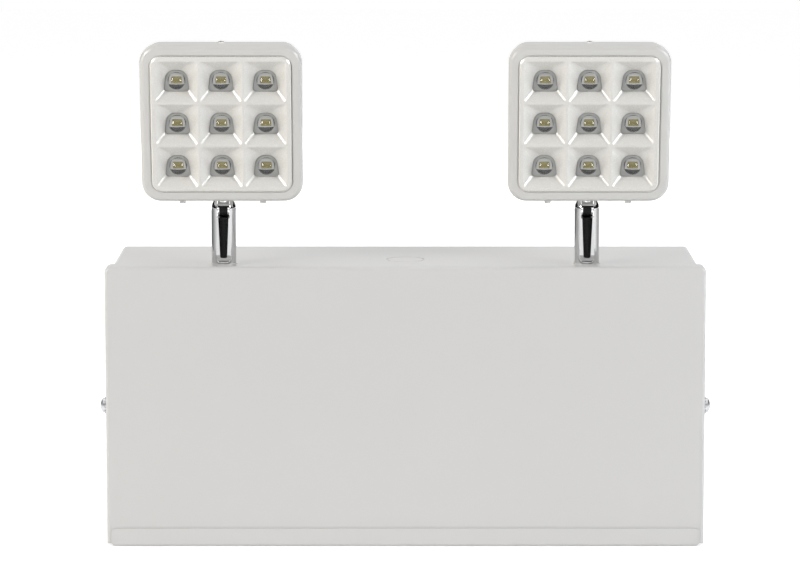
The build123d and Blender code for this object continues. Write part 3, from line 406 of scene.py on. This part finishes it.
def choose(kind, test):
    bpy.ops.mesh.select_mode(type=kind)
    bpy.ops.mesh.select_all(action="DESELECT")
    mesh = bmesh.from_edit_mesh(bpy.context.object.data)
    for thing in {"VERT": mesh.verts, "EDGE": mesh.edges, "FACE": mesh.faces}[kind]:
        thing.select_set(test(thing))
    mesh.select_flush_mode()
    bmesh.update_edit_mesh(bpy.context.object.data)


def atLevel(level):
    return lambda thing: all(abs(v.co.z - level) < nearLevel for v in thing.verts)


def outline(width, height, level, corners, steps=8, upper=1.0, centre=(0.0, 0.0)):
    # rounded outline without its face: corners are the radii (upper, lower), upper narrows the top
    cx, cy = centre
    bpy.ops.mesh.primitive_plane_add(size=1, location=(cx, cy, level))
    bpy.ops.transform.resize(value=(width, height, 1), center_override=(cx, cy, level))
    edge = cy + height / 2
    choose("VERT", lambda v: abs(v.co.y - edge) < near and abs(v.co.z - level) < nearLevel)
    bpy.ops.transform.resize(value=(upper, 1, 1), center_override=(cx, edge, level))
    for radius, side, half in ((corners[0], 1, width * upper / 2), (corners[1], -1, width / 2)):
        place = Vector((half, cy + side * height / 2, level))
        choose("VERT", lambda v: (Vector((abs(v.co.x - cx), *v.co.yz)) - place).length < near)
        bpy.ops.mesh.bevel(offset=radius, segments=steps, profile=0.5, affect="VERTICES")
    choose("FACE", lambda f: len(f.verts) > 2 * steps and atLevel(level)(f))
    bpy.ops.mesh.delete(type="ONLY_FACE")


def pullOut(rise=0.0, grow=1.0):
    # the chosen edge loop is extruded, then moved and scaled about the middle
    bpy.ops.mesh.extrude_region_move(TRANSFORM_OT_translate={"value": (0, 0, rise)})
    if grow != 1.0:
        bpy.ops.transform.resize(value=(grow, grow, 1), center_override=(0, 0, 0))


def spread(piece, pitch, count=3):
    # rows and columns of what was drawn about the origin, centred
    for name, step in (("columns", (pitch, 0, 0)), ("rows", (0, pitch, 0))):
        repeat = piece.modifiers.new(name, "ARRAY")
        repeat.count = count
        repeat.use_relative_offset = False
        repeat.use_constant_offset = True
        repeat.constant_offset_displace = step
        bpy.ops.object.modifier_apply(modifier=name)
    bpy.ops.object.mode_set(mode="EDIT")
    bpy.ops.mesh.select_all(action="SELECT")
    shift = -pitch * (count - 1) / 2
    bpy.ops.transform.translate(value=(shift, shift, 0))


def closeShell(facing=None):
    bpy.ops.mesh.select_all(action="SELECT")
    bpy.ops.mesh.remove_doubles(threshold=weld)
    bpy.ops.mesh.normals_make_consistent(inside=False)
    if facing is not None:
        mesh = bmesh.from_edit_mesh(bpy.context.object.data)
        if sum(f.normal.dot(Vector(facing)) * f.calc_area() for f in mesh.faces) < 0:
            bpy.ops.mesh.flip_normals()
    bpy.ops.object.mode_set(mode="OBJECT")


def smoothed(piece, angle=32):
    bpy.ops.object.shade_smooth_by_angle(angle=math.radians(angle))
    even = piece.modifiers.new("even", "WEIGHTED_NORMAL")
    even.keep_sharp = True
    bpy.ops.object.modifier_apply(modifier="even")
    return piece


def forEachWell(piece, angle=32):
    # what was drawn for one well is moved to its middle, repeated for all of them and closed
    choose("VERT", lambda v: True)
    bpy.ops.transform.translate(value=(0, -well["drop"], 0))
    bpy.ops.object.mode_set(mode="OBJECT")
    spread(piece, well["pitch"])
    closeShell()
    return smoothed(piece, angle)


# lamp heads: drawn about the middle of the front face, X right, Y up, Z towards the viewer
head = {
    "pivotX": 104.35,
    "pivotY": -77.9,
    "pivotZ": 113.05,
    "tilt": 10.5,
    "faceToPin": 13.0,
    "centre": 53.2,
}
headPlace = (
    Matrix.Translation((0, -head["faceToPin"] * mm, head["centre"] * mm))
    @ Matrix.Rotation(math.radians(90), 4, "X")
    @ Matrix.Scale(mm, 4)
)


def placeOnHeads(drawn, name, slotName, replaced=None):
    # one copy for each head, with its own mesh, then the drawing goes
    for side, sign in (("left", -1), ("right", 1)):
        pivot = Vector((sign * head["pivotX"], head["pivotY"], head["pivotZ"])) * mm
        piece = bpy.data.objects.new(f"{side}_{name}", drawn.data.copy())
        bpy.context.scene.collection.objects.link(piece)
        tilt = Matrix.Rotation(math.radians(head["tilt"]), 4, "X")
        piece.data.transform(Matrix.Translation(pivot) @ tilt @ headPlace)
        piece.data.materials.append(finishes[slotName])
        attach(piece, f"{side}_head")
        if replaced:
            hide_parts(f"{side}_{replaced}")
    bpy.data.objects.remove(drawn)


well = {
    "pitch": 25.167,
    "mouth": 23.967,
    "mouthCorner": 2.0,
    "rim": ((23.58, 0.6), (23.9, 0.74), (24.25, 0.787), (24.62, 0.8)),  # width and level
    "throatWidth": 14.767,
    "throatTop": 11.567,
    "throatHeight": 12.7,
    "topCorner": 4.6,
    "bottomCorner": 2.2,
    "drop": 0.5,
    "throatLevel": -4.0,
    "skirt": 0.55,
}
panel = {
    "size": 79.8,
    "corner": 6.4,
    "shift": (-0.1, 0.1),
    "proud": 0.8,
    "bevel": 0.78,
    "flange": 85.0,
    "flangeLevel": -1.9,
    "wall": 0.55,
}


def drawWell():
    width, level = well["rim"][0]
    outline(width, width, level, (well["mouthCorner"],) * 2)
    outline(
        well["throatWidth"],
        well["throatHeight"],
        well["throatLevel"],
        (well["topCorner"], well["bottomCorner"]),
        upper=well["throatTop"] / well["throatWidth"],
        centre=(0, -well["drop"]),
    )
    choose("EDGE", lambda e: True)
    bpy.ops.mesh.bridge_edge_loops(number_cuts=3, interpolation="LINEAR")
    choose("EDGE", atLevel(well["throatLevel"]))
    pullOut(rise=-well["skirt"])
    choose("EDGE", atLevel(level))
    for nextWidth, nextLevel in well["rim"][1:]:
        pullOut(rise=nextLevel - level, grow=nextWidth / width)
        width, level = nextWidth, nextLevel


def drawPanel():
    piece = newMesh("wells")
    drawWell()
    bpy.ops.object.mode_set(mode="OBJECT")
    spread(piece, well["pitch"])
    inner = panel["size"] - 2 * panel["bevel"]
    outline(inner, inner, panel["proud"], (panel["corner"] - panel["bevel"],) * 2)
    choose("EDGE", lambda e: atLevel(panel["proud"])(e) and len(e.link_faces) < 2)
    bpy.ops.mesh.fill(use_beauty=True)
    choose("EDGE", lambda e: e.is_boundary and atLevel(panel["proud"])(e))
    pullOut(rise=-panel["bevel"], grow=panel["size"] / inner)
    pullOut(rise=panel["flangeLevel"] - panel["proud"] + panel["bevel"])
    pullOut(grow=panel["flange"] / panel["size"])
    choose("VERT", lambda v: True)
    bpy.ops.transform.translate(value=(*panel["shift"], 0))
    closeShell(facing=(0, 0, 1))
    wall = piece.modifiers.new("wall", "SOLIDIFY")
    wall.thickness = panel["wall"]
    wall.offset = -1
    bpy.ops.object.modifier_apply(modifier="wall")
    return smoothed(piece)


lens = {
    "radius": 4.98,
    "apex": 1.05,
    "bottom": -4.74,
    "rings": 9,
    "sides": 48,
    "smooth": 60,
}
holder = {
    "top": -4.3,
    "bottom": -4.98,
    "gap": 0.32,
    "collarOut": 5.6,
    "collarTop": 5.35,
    "collarIn": 5.08,
    "collarRise": 0.22,
    "seat": -4.78,
}
chip = {"width": 3.9, "height": 2.7, "bottom": -4.6, "top": -4.28, "round": 0.12, "rise": 0.3}
package = {"width": 6.2, "height": 5.0, "bottom": -4.75, "top": -4.4, "round": 0.18, "rise": 1.1}
blockTop = {"inset": 0.25, "sunk": 0.04}
seat = {"radius": 4.9, "bottom": -4.75, "top": -4.66, "inset": 0.4, "sunk": 0.03}


def drawDomes():
    piece = newMesh("domes")
    spring = lens["apex"] - lens["radius"]
    bpy.ops.mesh.primitive_circle_add(
        vertices=lens["sides"],
        radius=lens["radius"],
        fill_type="NGON",
        location=(0, 0, lens["bottom"]),
    )
    pullOut(rise=spring - lens["bottom"])
    level, reach = spring, lens["radius"]
    for ring in range(1, lens["rings"]):
        turn = math.radians(90 * ring / lens["rings"])
        rise = spring + lens["radius"] * math.sin(turn) - level
        grow = lens["radius"] * math.cos(turn) / reach
        pullOut(rise=rise, grow=grow)
        level, reach = level + rise, reach * grow
    pullOut(rise=lens["apex"] - level)
    bpy.ops.mesh.merge(type="CENTER")
    return forEachWell(piece, lens["smooth"])


def drawHolders():
    piece = newMesh("holders")
    lap = -2 * holder["gap"]
    outline(
        well["throatWidth"] + lap,
        well["throatHeight"] + lap,
        holder["top"],
        (well["topCorner"], well["bottomCorner"]),
        upper=(well["throatTop"] + lap) / (well["throatWidth"] + lap),
        centre=(0, 0),
    )
    bpy.ops.mesh.primitive_circle_add(
        vertices=lens["sides"], radius=holder["collarOut"], location=(0, 0, holder["top"])
    )
    choose("EDGE", lambda e: True)
    bpy.ops.mesh.fill(use_beauty=True)
    inCollar = lambda e: all(v.co.xy.length < holder["collarOut"] + near for v in e.verts)
    choose("EDGE", lambda e: e.is_boundary and inCollar(e))
    pullOut(rise=holder["collarRise"], grow=holder["collarTop"] / holder["collarOut"])
    pullOut(grow=holder["collarIn"] / holder["collarTop"])
    pullOut(rise=holder["seat"] - holder["top"] - holder["collarRise"])
    bpy.ops.mesh.edge_face_add()
    choose("EDGE", lambda e: e.is_boundary)
    pullOut(rise=holder["bottom"] - holder["top"])
    bpy.ops.mesh.edge_face_add()
    return forEachWell(piece)


def drawBlocks(name, sizes):
    # bevelled block with a faintly sunk top, for the chip and for its package
    piece = newMesh(name)
    level = (sizes["bottom"] + sizes["top"]) / 2
    bpy.ops.mesh.primitive_cube_add(size=1, location=(0, 0, level))
    bpy.ops.transform.resize(
        value=(sizes["width"], sizes["height"], sizes["top"] - sizes["bottom"]),
        center_override=(0, 0, level),
    )
    choose("EDGE", lambda e: any(abs(v.co.z - sizes["top"]) < near for v in e.verts))
    bpy.ops.mesh.bevel(offset=sizes["round"], segments=2, profile=0.5, affect="EDGES")
    choose("FACE", lambda f: f.normal.z > 0.99 and f.calc_center_median().z > sizes["top"] - near)
    bpy.ops.mesh.inset(thickness=blockTop["inset"], depth=-blockTop["sunk"])
    choose("VERT", lambda v: True)
    bpy.ops.transform.translate(value=(0, sizes["rise"], 0))
    return forEachWell(piece)


def drawSeats():
    # dark seat under each dome, which carries the chip's package
    piece = newMesh("seats")
    bpy.ops.mesh.primitive_circle_add(
        vertices=lens["sides"],
        radius=seat["radius"],
        fill_type="NGON",
        location=(0, 0, seat["bottom"]),
    )
    pullOut(rise=seat["top"] - seat["bottom"])
    bpy.ops.mesh.inset(thickness=seat["inset"], depth=-seat["sunk"])
    return forEachWell(piece)


# black piece of painted shade round the front of the knuckle's eye
boot = {
    "radius": 5.45,
    "width": 4.9,
    "from": -16,  # degrees below straight out of the head's face
    "to": 85,
    "wall": 0.6,
    "round": 0.2,
    "sides": 96,
}


def drawEyeShade():
    # black piece round the front of the knuckle's eye: painted shade, standing in for the dark
    # inside of the fork below the eye
    piece = newMesh("boot")
    pinUp, pinOut = -head["centre"], -head["faceToPin"]
    bpy.ops.mesh.primitive_cylinder_add(
        vertices=boot["sides"],
        radius=boot["radius"],
        depth=boot["width"],
        end_fill_type="NOTHING",
        location=(0, pinUp, pinOut),
        rotation=(0, math.radians(90), 0),
    )
    below = lambda c: math.degrees(math.atan2(pinUp - c.y, c.z - pinOut))
    choose("FACE", lambda f: not boot["from"] < below(f.calc_center_median()) < boot["to"])
    bpy.ops.mesh.delete(type="FACE")
    bpy.ops.object.mode_set(mode="OBJECT")
    wall = piece.modifiers.new("wall", "SOLIDIFY")
    wall.thickness, wall.offset = boot["wall"], -1
    bpy.ops.object.modifier_apply(modifier="wall")
    edges = piece.modifiers.new("edges", "BEVEL")
    edges.width, edges.segments = boot["round"], 2
    bpy.ops.object.modifier_apply(modifier="edges")
    return smoothed(piece)


placeOnHeads(drawPanel(), "reflector_wells", "reflector_white", "reflector")
placeOnHeads(drawDomes(), "lens_domes", "lens_clear", "lenses")
# lens holders and chip packages take board_white's mid grey: painted shade of the recess behind
# the wells
placeOnHeads(drawHolders(), "lens_holders", "board_white")
placeOnHeads(drawSeats(), "lens_seats", "black_plastic")
placeOnHeads(drawBlocks("packages", package), "chip_packages", "board_white")
placeOnHeads(drawBlocks("chips", chip), "chip_windows", "chip_phosphor", "led_chips")
# painted shade: a black piece where the inside of the fork is dark
placeOnHeads(drawEyeShade(), "knuckle_boot", "sleeve_black")
print("head pieces drawn")


# studio: floor, background, lamps and camera
studio = {
    "floorTop": cadBox[0][2],
    "floorSize": 9.0,
    "floorColour": (0.86, 0.86, 0.86),
    "floorGap": 0.0002,
    "floorLift": 0.6,
    "worldLight": 0.425,
    "lampAim": (0, -0.1, 0.12),
    "cardSides": 120,
}


white = (1, 1, 1, 1)


def studioFloor():
    bpy.ops.object.select_all(action="DESELECT")
    bpy.ops.mesh.primitive_plane_add(
        size=studio["floorSize"], location=(0, 0, studio["floorTop"] - studio["floorGap"])
    )
    floor = bpy.context.object
    floor.name = "floor"
    g = Graph("floor_paper")
    paper = g.noise(40, 2.0)
    colour = studio["floorColour"]
    g.surface(
        Base_Color=g.blend(paper, tinted(colour, 0.99), tinted(colour, 1.01)),
        Roughness=0.9,
        Specular_IOR_Level=0.1,
    )
    # where it is looked at, the floor glows as well, so that it turns white and keeps its shadow
    own = Wire(g, g.shader.outputs[0])
    glow = g.add("ShaderNodeEmission", inputs={"Color": white, "Strength": studio["floorLift"]})
    lifted = g.add("ShaderNodeAddShader", inputs={0: own, 1: glow})
    g.show(g.add("ShaderNodeMixShader", inputs={0: g.lookedAt(), 1: own, 2: lifted}))
    floor.data.materials.append(g.material)


def studioWorld():
    world = bpy.data.worlds.new("studio")
    bpy.context.scene.world = world
    g = Graph("studio", world)
    soft, bright = (
        g.add("ShaderNodeBackground", inputs={"Color": white, "Strength": strength})
        for strength in (studio["worldLight"], 1.0)
    )
    g.show(g.add("ShaderNodeMixShader", inputs={0: g.lookedAt(), 1: soft, 2: bright}))


def softLamp(name, place, size, power, colour, shine=True):
    lamp = bpy.data.lights.new(name, "AREA")
    lamp.color = colour
    lamp.shape = "RECTANGLE"
    lamp.size, lamp.size_y = size
    lamp.energy = power
    stand = bpy.data.objects.new(name, lamp)
    bpy.context.scene.collection.objects.link(stand)
    stand.visible_glossy = shine
    stand.location = place
    aimed = Vector(studio["lampAim"]) - Vector(place)
    stand.rotation_euler = aimed.to_track_quat("-Z", "Y").to_euler()


def flagRing(name, radius, span, height, levels, strength=1.0):
    # upright card bent round the object that only shiny things see; its angles run from the
    # camera's side, 0, over the right, 90, to the back, 180, and levels gives its grey by angle
    bpy.ops.object.select_all(action="DESELECT")
    low, high = height
    bpy.ops.mesh.primitive_cylinder_add(
        vertices=studio["cardSides"],
        radius=radius,
        depth=high - low,
        end_fill_type="NOTHING",
        location=(0, 0, (low + high) / 2),
    )
    card = bpy.context.object
    card.name = name
    bpy.ops.object.mode_set(mode="EDIT")
    start, end = span
    outside = lambda c: not start <= math.degrees(math.atan2(c.x, -c.y)) <= end
    choose("FACE", lambda f: outside(f.calc_center_median()))
    bpy.ops.mesh.delete(type="FACE")
    bpy.ops.object.mode_set(mode="OBJECT")
    card.visible_camera = card.visible_diffuse = card.visible_shadow = False
    card.visible_transmission = False
    g = Graph(name)
    x = g.add("ShaderNodeSeparateXYZ", inputs={"Vector": g.place()})
    y = g.add("ShaderNodeSeparateXYZ", inputs={"Vector": g.place()}, output=1)
    # angles from -180 to 180 degrees as 0 to 1
    turn = x.maths("ARCTAN2", x, 0.0 - y) * (0.5 / math.pi) + 0.5
    stops = [(angle / 360 + 0.5, (level,) * 3) for angle, level in levels]
    cloth = g.add("ShaderNodeValToRGB", {"stops": stops}, {"Fac": turn})
    g.surface(
        Base_Color=(0, 0, 0, 1),
        Specular_IOR_Level=0.0,
        Emission_Color=cloth,
        Emission_Strength=strength,
    )
    card.data.materials.append(g.material)


studioFloor()
studioWorld()
warm, cool, plain = (1.0, 0.96, 0.9), (0.92, 0.96, 1.0), (1.0, 0.99, 0.98)
lamps = {
    "left": {
        "place": (-1.27, -0.9, 0.66), "size": (0.27, 0.85),
        "power": 8.0, "colour": warm, "shine": False,
    },
    "right": {
        "place": (1.27, -0.9, 0.66), "size": (0.27, 0.7),
        "power": 7.6, "colour": cool, "shine": False,
    },
    "sideLeft": {
        "place": (-1.9, -0.5, 0.3), "size": (0.8, 0.8),
        "power": 7.5, "colour": warm, "shine": False,
    },
    "sideRight": {
        "place": (1.9, -0.5, 0.3), "size": (0.8, 0.8),
        "power": 7.5, "colour": cool, "shine": False,
    },
    "low": {
        "place": (0, -2.2, 0.05), "size": (1.6, 0.2),
        "power": 2.0, "colour": plain,
    },
    "top": {
        "place": (0, 0.2, 2.0), "size": (1.4, 0.8),
        "power": 4.0, "colour": plain,
    },
    "back": {
        "place": (0, 2.2, 0.45), "size": (1.6, 0.8),
        "power": 13, "colour": plain, "shine": False,
    },
}
for lampName, lamp in lamps.items():
    softLamp(lampName, **lamp)
flags = {
    "flagBand": {
        "radius": 2.6, "span": (-140, 140), "height": (-0.08, 1.5),
        "levels": ((0, 0.012), (180, 0.012)),
    },
    "flagNear": {
        "radius": 0.45, "span": (-60, 60), "height": (-0.079, 0.026),
        "levels": ((-180, 0.8), (180, 0.84)),
    },
    "cardLeft": {
        "radius": 1.6, "span": (-65, -45), "height": (0.26, 1.06),
        "levels": ((-180, 1.0), (180, 1.0)), "strength": 14,
    },
    "cardRight": {
        "radius": 1.6, "span": (46, 64), "height": (0.3, 1.02),
        "levels": ((-180, 1.0), (180, 1.0)), "strength": 14,
    },
    "flagLow": {
        "radius": 1.1,
        "span": (-156, 150),
        "height": (-0.079, 0.0),
        "levels": (
            (-150, 0.2), (-125, 0.15), (-108, 0.22), (-93, 0.36), (-81, 0.54), (-69, 0.7),
            (-45, 0.95), (60, 0.9), (80, 0.85), (91, 0.6), (105, 0.41), (121, 0.37), (145, 0.5),
        ),
    },
}
for flagName, flag in flags.items():
    flagRing(flagName, **flag)

view = {
    "place": (0, -2.102, 0.3625),
    "down": 7.085,
    "lens": 159.62,
    "sensor": 36.0,
    "shift": (-0.00667, -0.1),
    "clip": (0.05, 50),
}
camera = bpy.data.cameras.new("camera")
camera.sensor_width = view["sensor"]
camera.lens = view["lens"]
camera.shift_x, camera.shift_y = view["shift"]
camera.dof.use_dof = False
camera.clip_start, camera.clip_end = view["clip"]
cameraHolder = bpy.data.objects.new("camera", camera)
bpy.context.scene.collection.objects.link(cameraHolder)
cameraHolder.location = view["place"]
cameraHolder.rotation_euler = (math.radians(90 - view["down"]), 0, 0)
bpy.context.scene.camera = cameraHolder
bpy.context.scene.view_settings.view_transform = "Standard"
print("studio set")
